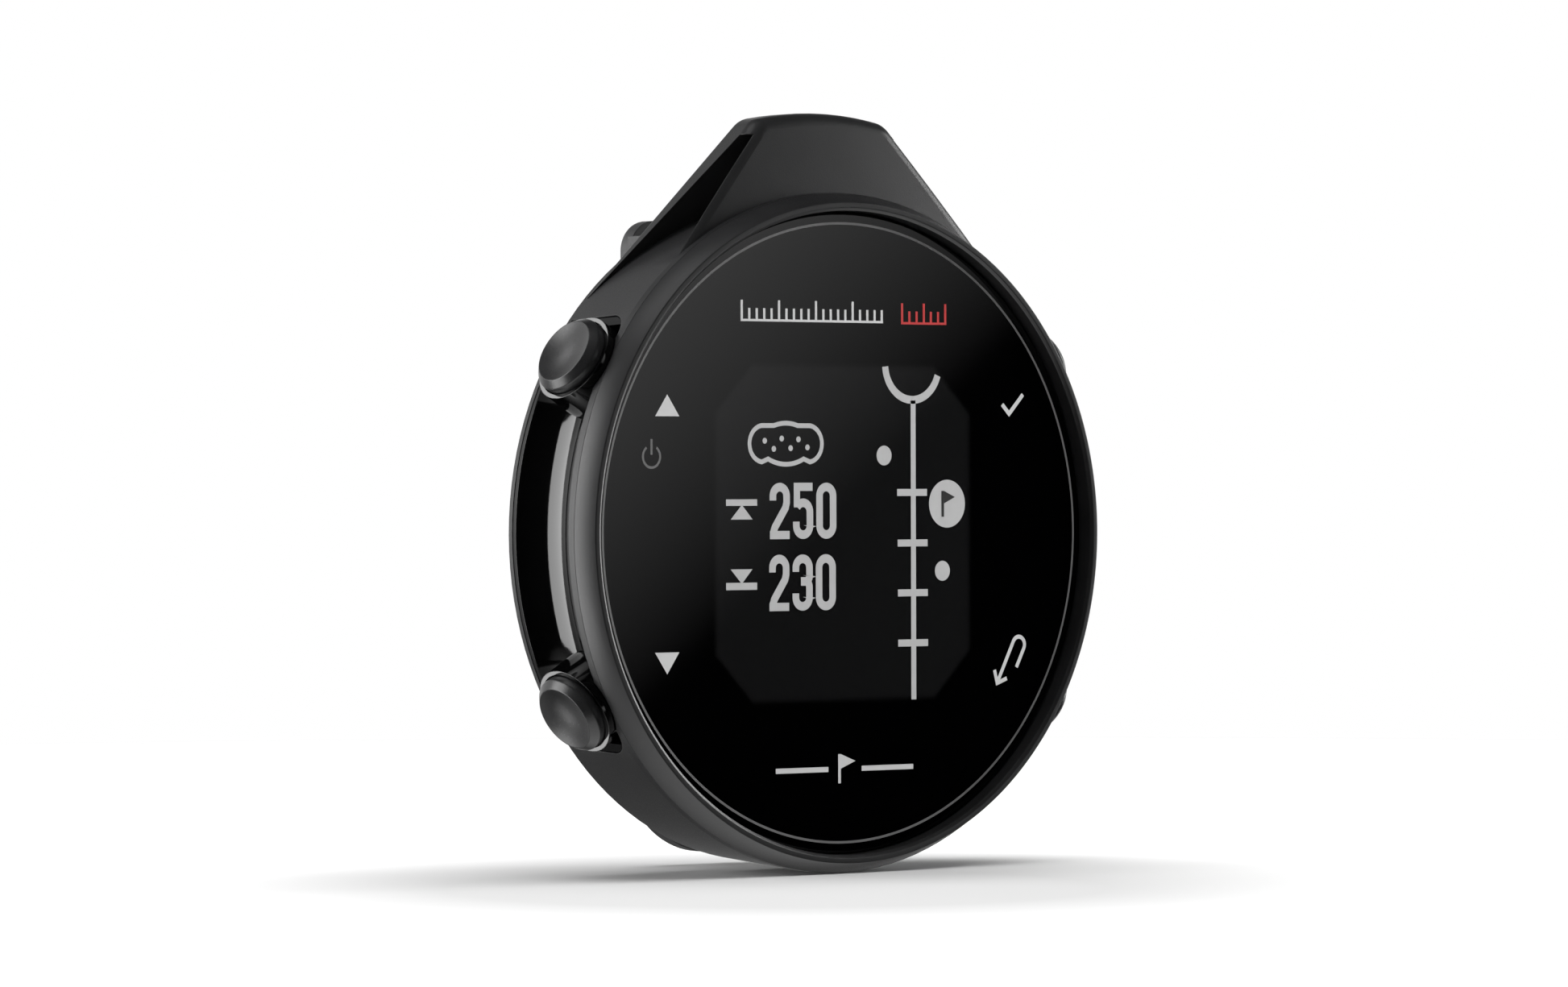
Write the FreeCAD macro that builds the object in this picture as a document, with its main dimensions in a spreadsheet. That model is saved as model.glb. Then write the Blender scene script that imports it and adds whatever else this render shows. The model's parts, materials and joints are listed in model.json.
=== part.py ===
import FreeCAD, Part
import math
import os
import re
import Sketcher

# Clip-on golf GPS: a round handheld with a lanyard lug, four side buttons and a sprung belt clip.
#
# Every sub-part is drawn about the case axis: X right, Y back, Z up, with the origin where the
# axis meets the front of the lens. "depth" is a distance back from there, so the bezel's lip has
# negative depths. The Placements then stand the device upright, with its lowest point at Z = 0.

SIZES = {
    # whole device; "past" is how far a cutting tool runs on beyond the face it opens, and "sink"
    # how far one shape of a piece starts inside the next
    "past": 1.0, "sink": 0.3, "case_radius": 23.3, "case_rear_radius": 22.77, "case_front": 0.42,
    "case_taper": 1.0, "case_rear": 8.16, "cavity_radius": 19.6, "seat_depth": 1.35, "shelf_rear": 2.1,
    "window_radius": 18.9, "clip_rear": 16.0, "lip_depth": -1.04,
    # lens and bezel
    "lens_radius": 21.94, "lens_thick": 1.2, "lens_bevel": 0.15, "well_radius": 22.04,
    "gasket_inner": 19.4, "gasket_outer": 21.6, "lip_inner_depth": -0.87,
    "lip_inner": 22.25, "lip_outer": 22.61, "bezel_rim": 0.02,
    # lanyard lug
    "lug_radius": 28.85, "lug_angle": 48.3, "lug_root": 22.4, "lug_corner": 1.8, "lug_lean": 10,
    "lug_face_radius": 150, "lug_face_depth": 1.04, "lug_face_half": 40, "lug_rear_depth": 5.95,
    "lug_rear_slope": 0.28, "lug_front_edge": 1.1, "lug_rear_edge": 0.35, "slot_front": 2.36,
    "slot_lean": 3, "slot_flare": 0.08, "slot_rear": 4.6, "slot_rear_slope": 0.43,
    "slot_top": 27.2, "slot_floor": 12.0, "slot_reach": 30, "lug_ahead": 6,
    "lug_low": 16.0, "block_half": 40,
    # glossy side trims
    "trim_angle": 78.6, "trim_gap": 0.05, "trim_end_gap": 0.4, "trim_sunk": 0.1, "pocket_corner": 1.9,
    "corner_reach": 4.0, "corner_inner": 18.0, "corner_outer": 30.0, "trough_angle": 75.0,
    "pocket_radius": 20.4, "pocket_front": 1.9, "pocket_lip_front": 1.05,
    "pocket_lip_radius": 22.5, "pocket_rear": 7.75, "trough_axis": 24.75,
    "trough_depth": 4.4, "trough_radius": 3.55, "trim_overlap": 10.0,
    # buttons, measured out from the case axis along each button's own axis
    "button_depth": 3.7, "button_angle": 29.8, "collar_radius": 3.15, "collar_top": 23.85,
    "collar_bore": 2.84, "collar_floor": 22.5, "notch_radius": 3.24,
    "stem_bore": 1.13, "wall_bore": 1.5, "cap_radius": 2.76, "cap_base": 22.95,
    "cap_edge": 24.36, "cap_top": 24.82, "dish_rim": 2.3, "dish_radius": 8.97,
    "dish_sag": 0.3, "stem_radius": 1.0, "stem_end": 18.65, "seal_groove": 21.3,
    "seal_width": 0.5, "seal_floor": 0.7, "seal_ring": 0.91, "seal_wire": 0.19,
    "ring_groove": 18.95, "ring_width": 0.3, "ring_floor": 0.75, "ring_radius": 1.4,
    "ring_thick": 0.26, "ring_slack": 0.03, "ring_sweep": 300, "plunger_radius": 0.6,
    "plunger_inner": 17.95, "plunger_outer": 18.6, "switch_inner": 15.85,
    "switch_outer": 17.4, "switch_half": 1.9, "switch_front": 2.7,
    # display stack
    "panel_half": 12.7, "panel_half_tall": 13.2, "panel_front": 1.4, "panel_rear": 3.0,
    "light_rear": 3.65, "frame_front": 3.7, "frame_rear": 4.4, "frame_radius": 19.4,
    "frame_wall": 0.45, "frame_lip": 2.15, "bay_half": 2.3, "bay_inner": 15.1,
    "post_radius": 1.3, "post_reach": 16.4, "post_hole": 0.5, "flex_half": 5.0,
    "flex_thick": 0.2, "flex_front": 2.0, "flex_drop": 14.7, "flex_end": 12.4, "flex_gap": 0.4,
    "flex_rise": 0.02,
    # electronics
    "board_front": 4.9, "board_rear": 5.7, "board_radius": 18.2, "board_hole": 0.6,
    "board_screw": 0.48, "board_screw_end": 3.9, "board_head": 1.0, "board_head_rear": 6.2,
    "shield_left": -11.0, "shield_low": 4.5, "shield_wide": 10.0, "shield_tall": 8.0,
    "shield_deep": 1.4, "shield_wall": 0.2, "chip_deep": 0.9, "antenna_left": 1.5,
    "antenna_wide": 9.0, "antenna_deep": 2.5, "battery_half": 12.0, "battery_low": -13.0,
    "battery_tall": 16.0, "battery_front": 6.15, "battery_rear": 8.95, "foam_inset": 1.0,
    "foam_thick": 0.4,
    # back cover
    "cover_inner": 9.2, "cover_rear": 10.4, "cover_edge": 22.3, "cover_step_radius": 21.9,
    "cover_step": 8.9, "cover_slope_radius": 20.9, "cover_slope": 9.9, "cover_flat": 20.2,
    "spigot_inner": 18.5, "spigot_outer": 19.45, "spigot_front": 7.3, "cover_groove": 18.95,
    "cover_groove_front": 7.44, "cover_groove_rear": 8.06, "cover_ring": 19.26,
    "cover_ring_wire": 0.28, "screw_reach": 20.6, "screw_angle": 20, "screw_radius": 0.5,
    "screw_hole": 0.52, "screw_clear": 0.65, "screw_seat": 9.0, "screw_head": 0.95,
    "screw_head_bore": 1.05, "screw_head_rear": 9.6, "screw_end": 4.4, "screw_gap": 0.1,
    "contact_pitch": 2.8, "contact_drop": 15.6, "contact_radius": 0.75, "contact_bore": 0.8,
    "contact_rear": 10.35, "contact_flange": 1.1, "contact_flange_front": 8.7,
    "carrier_half": 6.0, "carrier_half_tall": 1.3, "carrier_front": 7.6,
    # belt clip and its rails
    "rail_inner": 7.7, "rail_outer": 8.8, "rail_lip": 7.15, "rail_lip_front": 11.15,
    "rail_rear": 11.7, "rail_low": -12.7, "rail_top": 13.0, "rail_stop": 0.9,
    "base_half": 7.0, "tongue_half": 7.55, "base_front": 10.5, "tongue_rear": 11.05,
    "base_rear": 11.6, "base_low": -12.5, "base_top": 20.6, "hinge_depth": 13.1,
    "hinge_rise": 19.2, "knuckle_radius": 1.4, "ear_inner": 3.0, "ear_outer": 5.4,
    "cheek_inner": 5.6, "jaw_half": 7.0, "jaw_front": 14.6, "jaw_low": -22.4,
    "jaw_top": 21.7, "jaw_corner": 2.1, "jaw_edge": 0.5, "foot_half": 4.4,
    "foot_low": -12.2, "foot_tall": 2.4, "foot_front": 12.15, "foot_slope": 0.8,
    "pad_half": 5.0, "pad_low": -12.3, "pad_tall": 5.0, "pad_rear": 12.1,
    "pin_radius": 0.6, "pin_hole": 0.65, "pin_press": 0.61, "pin_half": 6.8,
    "coil_radius": 1.0, "coil_wire": 0.22, "coil_pitch": 0.9, "coil_turns": 4.5,
    "coil_leg": 6.0,
}

SIDES = {"left": -1, "right": 1}
# Left, low, wide and tall of each chip, from the lower left corner of the shield.
CHIPS = [(0.8, 1.0, 5.0, 5.0), (6.6, 1.0, 2.4, 2.4), (6.6, 4.4, 2.4, 2.6)]
BUTTONS = {"up": ("left", 1), "down": ("left", -1), "ok": ("right", 1), "back": ("right", -1)}

doc = FreeCAD.newDocument("ClipOnGolfGps")
nodes = []


# ---------------------------------------------------------------- helpers

def fill_sheet():
    sheet = doc.addObject("Spreadsheet::Sheet", "Dims")
    for row, (alias, value) in enumerate(SIZES.items(), start=1):
        sheet.set(f"A{row}", alias)
        sheet.set(f"B{row}", str(value))
        sheet.setAlias(f"B{row}", alias)
    doc.recompute()


def formula(text):
    """The text with every size's name turned into its cell in the sheet."""
    return re.sub(r"[a-z_]{3,}", lambda word: cell(word.group()), str(text))


def cell(word):
    return f"Dims.{word}" if word in SIZES else word


def bind(thing, **values):
    for name, text in values.items():
        thing.setExpression(name.replace("__", "."), formula(text))


def keep(thing, label, turn=0.0, depth="0"):
    """Name a finished sub-part and stand it in the upright device."""
    thing.Label = label
    thing.Placement = FreeCAD.Placement(FreeCAD.Vector(), FreeCAD.Rotation(FreeCAD.Vector(0, 1, 0), turn))
    bind(thing, Placement__Base__y=f"({depth}) - (clip_rear + lip_depth) / 2",
         Placement__Base__z="case_radius")
    nodes.append(thing)


def new_body(name):
    return doc.addObject("PartDesign::Body", name)


def new_sketch(body, plane, rise="0"):
    sketch = body.newObject("Sketcher::SketchObject", body.Name + "Sketch")
    base = next(item for item in body.Origin.OriginFeatures if item.Role == plane)
    sketch.AttachmentSupport = [(base, "")]
    sketch.MapMode = "FlatFace"
    bind(sketch, AttachmentOffset__Base__z=rise)
    return sketch


def pin_point(sketch, item, end, across, upward):
    for kind, text in (("DistanceX", across), ("DistanceY", upward)):
        index = sketch.addConstraint(Sketcher.Constraint(kind, -1, 1, item, end, 1.0))
        sketch.setExpression(f"Constraints[{index}]", formula(text))


def outline(body, plane, corners, rise="0"):
    """A closed outline of straight edges, every corner pinned to the sketch's origin."""
    sketch = new_sketch(body, plane, rise)
    count = len(corners)
    spots = [2 * math.pi * index / count for index in range(count)]
    points = [FreeCAD.Vector(math.cos(spot), math.sin(spot), 0) for spot in spots]
    for index in range(count):
        edge = Part.LineSegment(points[index], points[(index + 1) % count])
        sketch.addGeometry(edge, False)
    for index in range(count):
        joined = Sketcher.Constraint("Coincident", index, 2, (index + 1) % count, 1)
        sketch.addConstraint(joined)
    for index, (across, upward) in enumerate(corners):
        pin_point(sketch, index, 1, across, upward)
    return sketch


def rings(body, plane, circles, rise="0"):
    """Circles given as (across, upward, radius)."""
    sketch = new_sketch(body, plane, rise)
    for index, (across, upward, radius) in enumerate(circles):
        circle = Part.Circle(FreeCAD.Vector(index, 0, 0), FreeCAD.Vector(0, 0, 1), 1.0)
        sketch.addGeometry(circle, False)
        pin_point(sketch, index, 3, across, upward)
        size = sketch.addConstraint(Sketcher.Constraint("Radius", index, 1.0))
        sketch.setExpression(f"Constraints[{size}]", formula(radius))
    return sketch


def spin(body, sketch, kind="Revolution", angle="360"):
    """Turn a sketch about its own vertical axis, half the angle each way."""
    turned = body.newObject(f"PartDesign::{kind}", body.Name + kind)
    turned.Profile = sketch
    turned.ReferenceAxis = (sketch, ["V_Axis"])
    turned.Midplane = True
    bind(turned, Angle=angle)
    return turned


def pad(body, sketch, length, both=False):
    solid = body.newObject("PartDesign::Pad", body.Name + "Pad")
    solid.Profile = sketch
    solid.Midplane = both
    bind(solid, Length=length)
    return solid


def turned_part(name, corners, plane="XY_Plane", angle="360"):
    body = new_body(name)
    spin(body, outline(body, plane, corners), angle=angle)
    return body


def box(name, x, y, z, wide, deep, tall):
    block = doc.addObject("Part::Box", name)
    bind(block, Placement__Base__x=x, Placement__Base__y=y, Placement__Base__z=z)
    bind(block, Length=wide, Width=deep, Height=tall)
    return block


def rod(name, radius, start, end, across="0", upward="0"):
    """A cylinder along the depth, from start to end."""
    cylinder = doc.addObject("Part::Cylinder", name)
    turn = FreeCAD.Rotation(FreeCAD.Vector(1, 0, 0), -90)
    cylinder.Placement = FreeCAD.Placement(FreeCAD.Vector(), turn)
    bind(cylinder, Radius=radius, Height=f"({end}) - ({start})")
    bind(cylinder, Placement__Base__x=across, Placement__Base__y=start, Placement__Base__z=upward)
    return cylinder


def cross_rod(name, radius, left, right, depth, upward):
    """A cylinder across the device, from left to right."""
    cylinder = doc.addObject("Part::Cylinder", name)
    turn = FreeCAD.Rotation(FreeCAD.Vector(0, 1, 0), 90)
    cylinder.Placement = FreeCAD.Placement(FreeCAD.Vector(), turn)
    bind(cylinder, Radius=radius, Height=f"({right}) - ({left})")
    bind(cylinder, Placement__Base__x=left, Placement__Base__y=depth, Placement__Base__z=upward)
    return cylinder


def radial_turn(side, level):
    """The turn about Y that carries +Z onto a button's axis."""
    return SIDES[side] * (90 - level * SIZES["button_angle"])


def radial_rod(name, radius, start, end, side, level):
    """A cylinder along a button's axis, from start to end, measured from the case axis."""
    cylinder = doc.addObject("Part::Cylinder", name)
    turn = FreeCAD.Rotation(FreeCAD.Vector(0, 1, 0), radial_turn(side, level))
    cylinder.Placement = FreeCAD.Placement(FreeCAD.Vector(), turn)
    bind(cylinder, Radius=radius, Height=f"({end}) - ({start})")
    bind(cylinder, Placement__Base__x=f"{SIDES[side]} * ({start}) * cos(button_angle * 1deg)",
         Placement__Base__y="button_depth",
         Placement__Base__z=f"{level} * ({start}) * sin(button_angle * 1deg)")
    return cylinder


def radial_box(name, half, front, rear, start, end, side, level):
    """A block across a button's axis, from start to end, measured from the case axis."""
    block = box(name, "0", "0", "0", f"2 * ({half})", f"({rear}) - ({front})", f"({end}) - ({start})")
    turn = radial_turn(side, level)
    block.Placement = FreeCAD.Placement(FreeCAD.Vector(), FreeCAD.Rotation(FreeCAD.Vector(0, 1, 0), turn))
    across = f"sin({turn} * 1deg)"
    along = f"cos({turn} * 1deg)"
    bind(block, Placement__Base__x=f"({start}) * {across} - ({half}) * {along}",
         Placement__Base__y=front, Placement__Base__z=f"({start}) * {along} + ({half}) * {across}")
    return block


def fuse(name, shapes):
    joined = doc.addObject("Part::MultiFuse", name)
    joined.Shapes = shapes
    joined.Refine = True
    return joined


def common(name, shapes):
    shared = doc.addObject("Part::MultiCommon", name)
    shared.Shapes = shapes
    return shared


def cut(name, base, tools):
    """The base less all the tools, which are joined first when there is more than one."""
    carved = doc.addObject("Part::Cut", name)
    carved.Base = base
    carved.Tool = tools[0] if len(tools) == 1 else fuse(name + "Tools", tools)
    return carved


def round_edges(name, base, radius, wanted):
    """Round the edges that wanted(edge) picks."""
    doc.recompute()
    rounded = doc.addObject("Part::Fillet", name)
    rounded.Base = base
    size = SIZES[radius]
    picked = [index for index, edge in enumerate(base.Shape.Edges, start=1) if wanted(edge)]
    rounded.Edges = [(index, size, size) for index in picked]
    return rounded


def at_spots(prefix, make):
    return [make(f"{prefix}{index}", side, level)
            for index, (side, level) in enumerate(BUTTONS.values())]


# ---------------------------------------------------------------- lens and bezel

def make_lens():
    corners = [("0", "0"), ("lens_radius - lens_bevel", "0"), ("lens_radius", "lens_bevel"),
               ("lens_radius", "lens_thick"), ("0", "lens_thick")]
    keep(turned_part("Lens", corners), "lens_glass")


def make_gasket():
    corners = [("gasket_inner", "lens_thick"), ("gasket_outer", "lens_thick"),
               ("gasket_outer", "seat_depth"), ("gasket_inner", "seat_depth")]
    keep(turned_part("Gasket", corners), "lens_gasket")


def make_bezel():
    corners = [("well_radius", "lip_inner_depth"), ("lip_inner", "lip_depth"),
               ("lip_outer", "lip_depth"),
               ("case_radius - bezel_rim", "case_front - bezel_rim"),
               ("case_radius - bezel_rim", "case_front"), ("well_radius", "case_front")]
    keep(turned_part("Bezel", corners), "bezel_ring")


# ---------------------------------------------------------------- front case with its lug

def case_shell():
    corners = [("window_radius", "seat_depth"), ("well_radius", "seat_depth"),
               ("well_radius", "case_front"), ("case_radius", "case_front"),
               ("case_radius", "case_taper"), ("case_rear_radius", "case_rear"),
               ("cavity_radius", "case_rear"), ("cavity_radius", "shelf_rear"),
               ("window_radius", "shelf_rear")]
    return turned_part("Shell", corners)


def flank_block(side):
    """A block whose outer face carries on straight from the tapered case wall."""
    half = SIZES["block_half"]
    narrowing = SIZES["case_radius"] - SIZES["case_rear_radius"]
    taper = math.degrees(math.atan2(narrowing, SIZES["case_rear"] - SIZES["case_taper"]))
    swing = FreeCAD.Rotation(FreeCAD.Vector(0, 1, 0), SIDES[side] * SIZES["lug_angle"])
    tilt = FreeCAD.Rotation(FreeCAD.Vector(1, 0, 0), -taper)
    middle = swing.multVec(FreeCAD.Vector(0, 0, SIZES["case_radius"]))
    middle.y = SIZES["case_taper"]
    face = FreeCAD.Placement(middle, swing.multiply(tilt))
    corner = FreeCAD.Placement(FreeCAD.Vector(-half, -half, -2 * half), FreeCAD.Rotation())
    block = doc.addObject("Part::Box", "Flank" + side.title())
    bind(block, Length="2 * block_half", Width="2 * block_half", Height="2 * block_half")
    block.Placement = face.multiply(corner)
    return block


def lug_prism():
    """Two flanks that leave the case without a step, under an arc about the case axis."""
    disc = rod("LugDisc", "lug_radius", "0 - lug_ahead", "case_rear")
    blank = common("LugBlank", [disc, flank_block("left"), flank_block("right")])
    return round_edges("LugCorners", blank, "lug_corner", is_lug_corner)


def is_lug_corner(edge):
    """The two edges along the depth where a flank meets the top arc."""
    spot = edge.valueAt((edge.FirstParameter + edge.LastParameter) / 2)
    at_arc = math.hypot(spot.x, spot.z) > SIZES["lug_radius"] - 0.01
    return edge.BoundBox.YLength > 1 and at_arc and spot.z > 0


def lug_face_cylinder():
    """A wide cylinder that leans back: its front is the lug's gently bowed face."""
    lean = math.radians(SIZES["lug_lean"])
    cylinder = doc.addObject("Part::Cylinder", "LugFace")
    turn = FreeCAD.Rotation(FreeCAD.Vector(1, 0, 0), -SIZES["lug_lean"])
    cylinder.Placement = FreeCAD.Placement(FreeCAD.Vector(), turn)
    bind(cylinder, Radius="lug_face_radius", Height="2 * lug_face_half")
    back = f"lug_face_radius * {math.cos(lean):.9f} - lug_face_half * {math.sin(lean):.9f}"
    down = f"lug_face_radius * {math.sin(lean):.9f} + lug_face_half * {math.cos(lean):.9f}"
    bind(cylinder, Placement__Base__y=f"lug_face_depth + {back}",
         Placement__Base__z=f"case_radius - ({down})")
    return cylinder


def side_prism(name, corners):
    """An outline seen from the side, as (depth, upward), run right across the lug."""
    body = new_body(name)
    pad(body, outline(body, "YZ_Plane", corners), "3 * case_radius", both=True)
    return body


def lug_side():
    low = "lug_low"
    top = "lug_radius + past"
    rear = "lug_rear_depth - lug_rear_slope * ({} - case_radius)"
    corners = [("0 - lug_ahead", low), (rear.format(low), low), (rear.format(f"({top})"), top),
               ("0 - lug_ahead", top)]
    return side_prism("LugSide", corners)


def slot_front_wall():
    """Everything behind the slot's front wall, which is thickest in the middle of the lug."""
    body = new_body("SlotFront")
    edge = "slot_front - slot_flare * slot_reach"
    corners = [("0", "slot_front"), ("slot_reach", edge), ("slot_reach", "slot_reach"),
               ("-slot_reach", "slot_reach"), ("-slot_reach", edge)]
    pad(body, outline(body, "XY_Plane", corners), "2 * slot_reach", both=True)
    turn = FreeCAD.Rotation(FreeCAD.Vector(1, 0, 0), -SIZES["slot_lean"])
    body.Placement = FreeCAD.Placement(FreeCAD.Vector(0, 0, SIZES["case_radius"]), turn)
    return body


def lug_slot():
    """The lanyard slot: a wedge that is wide at the case wall and closes towards the top."""
    rear = "slot_rear - slot_rear_slope * ({} - case_radius)"
    corners = [("0", "slot_floor"), (rear.format("slot_floor"), "slot_floor"),
               (rear.format("slot_top"), "slot_top"), ("0", "slot_top")]
    return common("LugSlot", [side_prism("SlotRear", corners), slot_front_wall()])


def is_lug_top(front):
    """The top arc's edges, round the corners too, on the lug's face or on its rear."""
    def wanted(edge):
        spot = edge.valueAt((edge.FirstParameter + edge.LastParameter) / 2)
        rise = spot.z - SIZES["case_radius"]
        depth = SIZES["lug_rear_depth"] - SIZES["lug_rear_slope"] * rise
        if front:
            bow = spot.x ** 2 / (2 * SIZES["lug_face_radius"])
            depth = SIZES["lug_face_depth"] + math.tan(math.radians(SIZES["lug_lean"])) * rise + bow
        on_top = math.hypot(spot.x, spot.z) > SIZES["lug_radius"] - 1
        return on_top and edge.BoundBox.YLength < 1 and abs(spot.y - depth) < 0.3
    return wanted


def make_lug():
    solid = common("LugSolid", [lug_prism(), lug_face_cylinder(), lug_side()])
    rounded = round_edges("LugFrontRound", solid, "lug_front_edge", is_lug_top(True))
    rounded = round_edges("LugRearRound", rounded, "lug_rear_edge", is_lug_top(False))
    root = rod("LugRoot", "lug_root", "0 - lug_ahead", "case_rear + lug_ahead")
    return cut("Lug", rounded, [root, lug_slot()])


def trim_outline(gap):
    """Half section of the recess for a side trim, as (radius, depth), less a gap all round."""
    inner = f"pocket_radius + {gap}"
    lip = f"pocket_lip_radius + {gap}"
    return [(inner, f"pocket_front + {gap}"), (lip, f"pocket_front + {gap}"),
            (lip, f"pocket_lip_front + {gap}"),
            ("case_radius - trim_sunk", f"pocket_lip_front + {gap}"),
            ("case_rear_radius", f"pocket_rear - {gap}"), (inner, f"pocket_rear - {gap}")]


def trim_pocket(side):
    corners = trim_outline("0")
    corners[3] = ("case_radius + past", corners[3][1])
    corners[4] = ("case_radius + past", corners[4][1])
    name = "Pocket" + side.title()
    blank = turned_part(name + "Blank", corners, angle="trim_angle + trim_end_gap")
    pocket = cut(name, blank, [corner_waste(name, level, 0) for level in (1, -1)])
    turn = FreeCAD.Rotation(FreeCAD.Vector(0, 1, 0), 90 - 90 * SIDES[side])
    pocket.Placement = FreeCAD.Placement(FreeCAD.Vector(), turn)
    return pocket


def corner_waste(name, level, gap):
    """What a rounded front corner leaves off, at the upper or lower end on the right."""
    radius, reach = SIZES["pocket_corner"], SIZES["corner_reach"]
    end = (SIZES["trim_angle"] + SIZES["trim_end_gap"]) / 2
    angle = end - math.degrees(math.asin(radius / SIZES["case_radius"]))
    middle = FreeCAD.Vector(0, SIZES["pocket_lip_front"] + radius, 0)
    turn = FreeCAD.Rotation(FreeCAD.Vector(0, 1, 0), 90 - level * angle)
    outward = FreeCAD.Placement(middle, turn)
    tag = name + ("Upper" if level > 0 else "Lower")
    block = doc.addObject("Part::Box", tag + "Block")
    bind(block, Length="corner_reach", Width="corner_reach", Height="corner_outer - corner_inner")
    corner = FreeCAD.Vector(-reach if level > 0 else 0, -reach, SIZES["corner_inner"])
    block.Placement = outward.multiply(FreeCAD.Placement(corner, FreeCAD.Rotation()))
    round_end = doc.addObject("Part::Cylinder", tag + "Round")
    bind(round_end, Radius=f"pocket_corner - {gap}", Height="corner_outer")
    round_end.Placement = outward
    return cut(tag + "Waste", block, [round_end])


def screw_spots():
    for upward in (1, -1):
        for across in (1, -1):
            yield (f"{across} * screw_reach * sin(screw_angle * 1deg)",
                   f"{upward} * screw_reach * cos(screw_angle * 1deg)")


def screw_rods(prefix, radius, start, end):
    return [rod(f"{prefix}{index}", radius, start, end, across, upward)
            for index, (across, upward) in enumerate(screw_spots())]


def make_case():
    solid = fuse("CaseSolid", [case_shell(), make_lug()])
    tools = [trim_pocket(side) for side in SIDES]
    tools += at_spots("Notch", lambda name, side, level: radial_rod(
        name, "notch_radius", "pocket_lip_radius", "case_radius + past", side, level))
    tools += at_spots("WallBore", lambda name, side, level: radial_rod(
        name, "wall_bore", "window_radius", "pocket_radius + past", side, level))
    tools += screw_rods("CaseHole", "screw_hole", "screw_end - screw_gap", "case_rear + past")
    keep(cut("Case", solid, tools), "front_case")


# ---------------------------------------------------------------- side trims and buttons

def trim_band(name):
    """A band round the side, hollowed into a trough that stops short of its ends."""
    band = turned_part(name + "Blank", trim_outline("trim_gap"), angle="trim_angle")
    trough = new_body(name + "Trough")
    section = rings(trough, "XY_Plane", [("trough_axis", "trough_depth", "trough_radius")])
    spin(trough, section, angle="trough_angle")
    waste = [corner_waste(name, level, SIZES["trim_gap"]) for level in (1, -1)]
    return cut(name + "Band", band, [trough] + waste)


def make_trim(side):
    """Drawn on the right-hand side; the left-hand trim is the same piece turned half round."""
    name = "Trim" + side.title()
    collars = [radial_rod(f"{name}Collar{index}", "collar_radius", "pocket_radius + past",
                          "collar_top", "right", level) for index, level in enumerate((1, -1))]
    inside = turned_part(name + "Inside", [("window_radius", "0 - past"),
                         ("pocket_lip_radius + trim_gap", "0 - past"),
                         ("pocket_lip_radius + trim_gap", "pocket_front + trim_gap"),
                         ("window_radius", "pocket_front + trim_gap")],
                         angle="trim_angle + trim_overlap")
    tools = [inside]
    for index, level in enumerate((1, -1)):
        tools.append(radial_rod(f"{name}Bore{index}", "collar_bore", "collar_floor",
                                "collar_top + past", "right", level))
        tools.append(radial_rod(f"{name}Stem{index}", "stem_bore", "window_radius",
                                "collar_top", "right", level))
    solid = fuse(name + "Solid", [trim_band(name)] + collars)
    keep(cut(name, solid, tools), f"side_trim_{side}", turn=90 - 90 * SIDES[side])


def make_cap(name, turn):
    """Cap and stem in one, with grooves for the seal and for the retaining ring."""
    seal_top = "seal_groove + seal_width"
    ring_top = "ring_groove + ring_width"
    corners = [("0", "stem_end"), ("stem_radius", "stem_end"), ("stem_radius", "ring_groove"),
               ("ring_floor", "ring_groove"), ("ring_floor", ring_top), ("stem_radius", ring_top),
               ("stem_radius", "seal_groove"), ("seal_floor", "seal_groove"),
               ("seal_floor", seal_top), ("stem_radius", seal_top), ("stem_radius", "cap_base"),
               ("cap_radius", "cap_base"), ("cap_radius", "cap_edge"), ("dish_rim", "cap_top"),
               ("0", "cap_top")]
    blank = turned_part(f"Cap{name}Blank", corners, plane="XZ_Plane")
    dish = doc.addObject("Part::Sphere", f"Cap{name}Dish")
    bind(dish, Radius="dish_radius", Placement__Base__z="cap_top - dish_sag + dish_radius")
    keep(cut(f"Cap{name}", blank, [dish]), f"button_{name}", turn, "button_depth")


def make_seal(name, turn):
    body = new_body(f"Seal{name}")
    middle = "seal_groove + seal_width / 2"
    spin(body, rings(body, "XZ_Plane", [("seal_ring", middle, "seal_wire")]))
    keep(body, f"button_seal_{name}", turn, "button_depth")


def make_retaining_ring(name, turn):
    middle = "ring_groove + ring_width / 2"
    corners = [("ring_floor + ring_slack", f"{middle} - ring_thick / 2"),
               ("ring_radius", f"{middle} - ring_thick / 2"),
               ("ring_radius", f"{middle} + ring_thick / 2"),
               ("ring_floor + ring_slack", f"{middle} + ring_thick / 2")]
    ring = turned_part(f"Ring{name}", corners, plane="XZ_Plane", angle="ring_sweep")
    keep(ring, f"button_ring_{name}", turn, "button_depth")


def make_plunger(name, turn):
    corners = [("0", "plunger_inner"), ("plunger_radius", "plunger_inner"),
               ("plunger_radius", "plunger_outer"), ("0", "plunger_outer")]
    plunger = turned_part(f"Plunger{name}", corners, plane="XZ_Plane")
    keep(plunger, f"switch_plunger_{name}", turn, "button_depth")


def make_buttons():
    for name, (side, level) in BUTTONS.items():
        turn = radial_turn(side, level)
        make_cap(name, turn)
        make_seal(name, turn)
        make_retaining_ring(name, turn)
        make_plunger(name, turn)


# ---------------------------------------------------------------- display and electronics

def slab(name, left, right, low, high, front, rear):
    """A plain block, given by its six faces."""
    body = new_body(name)
    corners = [(left, low), (right, low), (right, high), (left, high)]
    pad(body, outline(body, "XZ_Plane", corners, rise=f"0 - ({rear})"), f"({rear}) - ({front})")
    return body


def make_display():
    edges = ("-panel_half", "panel_half", "-panel_half_tall", "panel_half_tall")
    keep(slab("Panel", *edges, "panel_front", "panel_rear"), "display_panel")
    keep(slab("Light", *edges, "panel_rear", "light_rear"), "backlight_panel")


def post_spots():
    return [("post_reach", "0"), ("-post_reach", "0"), ("0", "post_reach"), ("0", "-post_reach")]


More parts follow.
